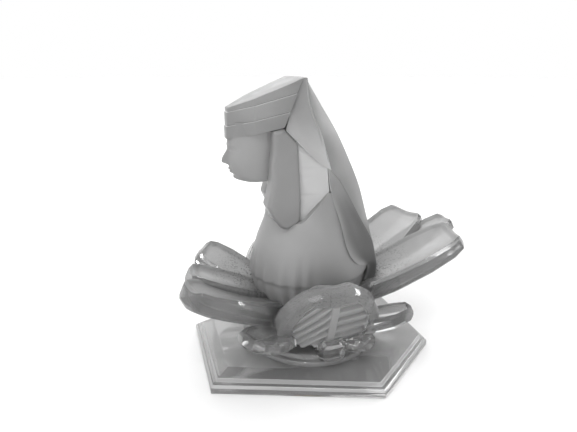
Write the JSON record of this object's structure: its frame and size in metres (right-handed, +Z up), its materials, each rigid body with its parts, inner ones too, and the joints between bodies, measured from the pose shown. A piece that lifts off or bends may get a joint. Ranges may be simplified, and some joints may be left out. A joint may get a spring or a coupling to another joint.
{
  "type": "hood ornament",
  "caption": "Satin-glass bust in a stepped headdress on a ring of thick glass leaves, round plinth and stepped six-sided glass plate.",
  "frame": {"origin": "fixing axis at the underside of the plate, where the threaded insert opens", "axes": "+Z up, the figure faces -Y, +X is its left hand side"},
  "size_m": [0.1, 0.1389, 0.1246],
  "materials": {
    "satin_glass": "satin",
    "leaf_glass": "satin",
    "clear_glass": "polished",
    "brass": "satin",
    "fibre": "matte",
    "cement": "matte"
  },
  "bodies": {
    "root": {"base_plate": "clear_glass", "cape": "satin_glass", "fibre_washer": "fibre", "glass_knob_left": "clear_glass", "glass_knob_right": "clear_glass", "head": "satin_glass", "headband_lower": "satin_glass", "headband_middle": "satin_glass", "headband_upper": "satin_glass", "headcloth": "satin_glass", "insert_cement": "cement", "insert_flange": "brass", "lappet_left": "satin_glass", "lappet_right": "satin_glass", "leaf_front_left": "leaf_glass", "leaf_front_middle": "leaf_glass", "leaf_front_right": "leaf_glass", "leaf_low_front_left": "clear_glass", "leaf_low_front_right": "clear_glass", "leaf_low_rear_left": "clear_glass", "leaf_low_rear_right": "clear_glass", "leaf_low_side_left": "clear_glass", "leaf_low_side_right": "clear_glass", "leaf_rear_left": "leaf_glass", "leaf_rear_middle": "leaf_glass", "leaf_rear_right": "leaf_glass", "leaf_side_left": "leaf_glass", "leaf_side_right": "leaf_glass", "lotus_cup": "clear_glass", "neck": "satin_glass", "plinth_disc": "clear_glass", "robe": "satin_glass", "shoulders": "satin_glass", "threaded_insert": "brass"}
  },
  "joints": []
}
